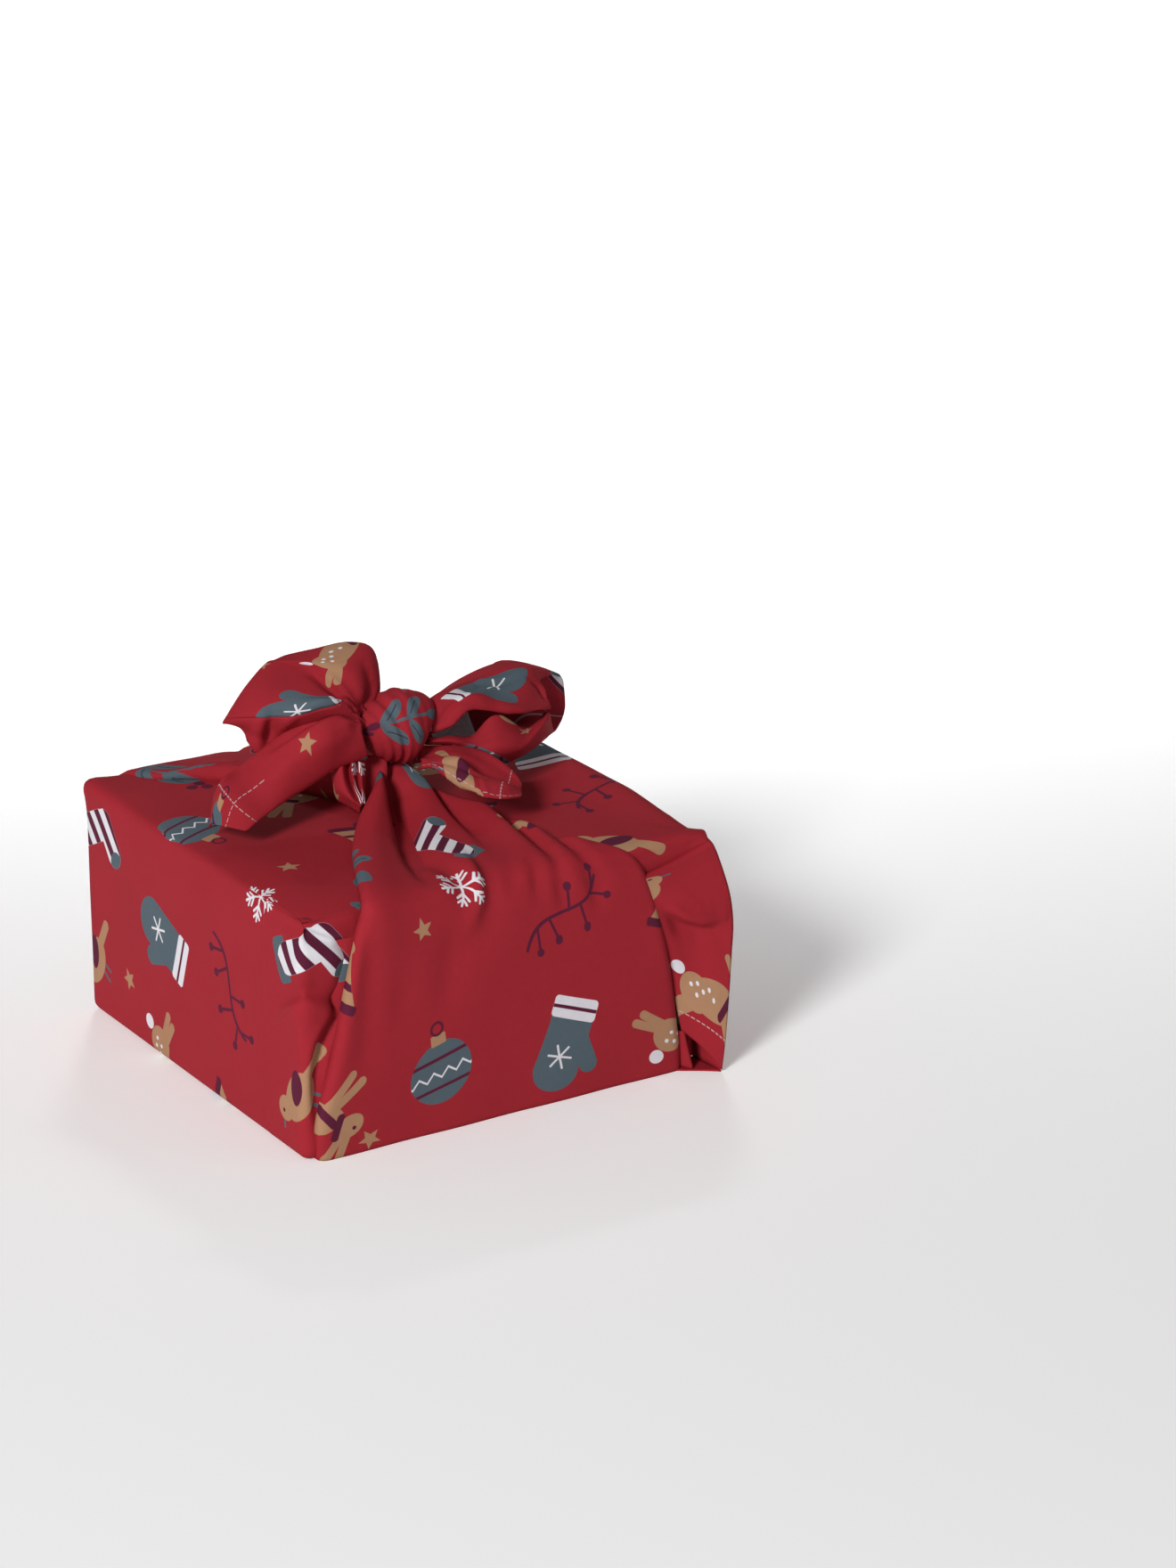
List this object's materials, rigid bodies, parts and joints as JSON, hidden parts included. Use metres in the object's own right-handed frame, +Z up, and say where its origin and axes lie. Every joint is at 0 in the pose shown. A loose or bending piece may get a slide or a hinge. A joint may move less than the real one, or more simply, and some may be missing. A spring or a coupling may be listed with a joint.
{
  "type": "furoshiki wrap",
  "caption": "Square of printed cotton folded round a low box and tied on top: gathered fans front and back, knot, bow loops and free ends, with an ear-like fold at one corner.",
  "frame": {"origin": "centre of the flat underside, on the surface the parcel stands on", "axes": "+Z up towards the bow, -Y towards the front face, +X to the right of the front face"},
  "size_m": [0.18, 0.1892, 0.1569],
  "materials": {
    "printed_cotton": "matt plain-weave cotton, deep red with a scattered print in slate, tan, burgundy and off-white"
  },
  "bodies": {
    "root": {"wrap": "printed_cotton"}
  },
  "joints": []
}
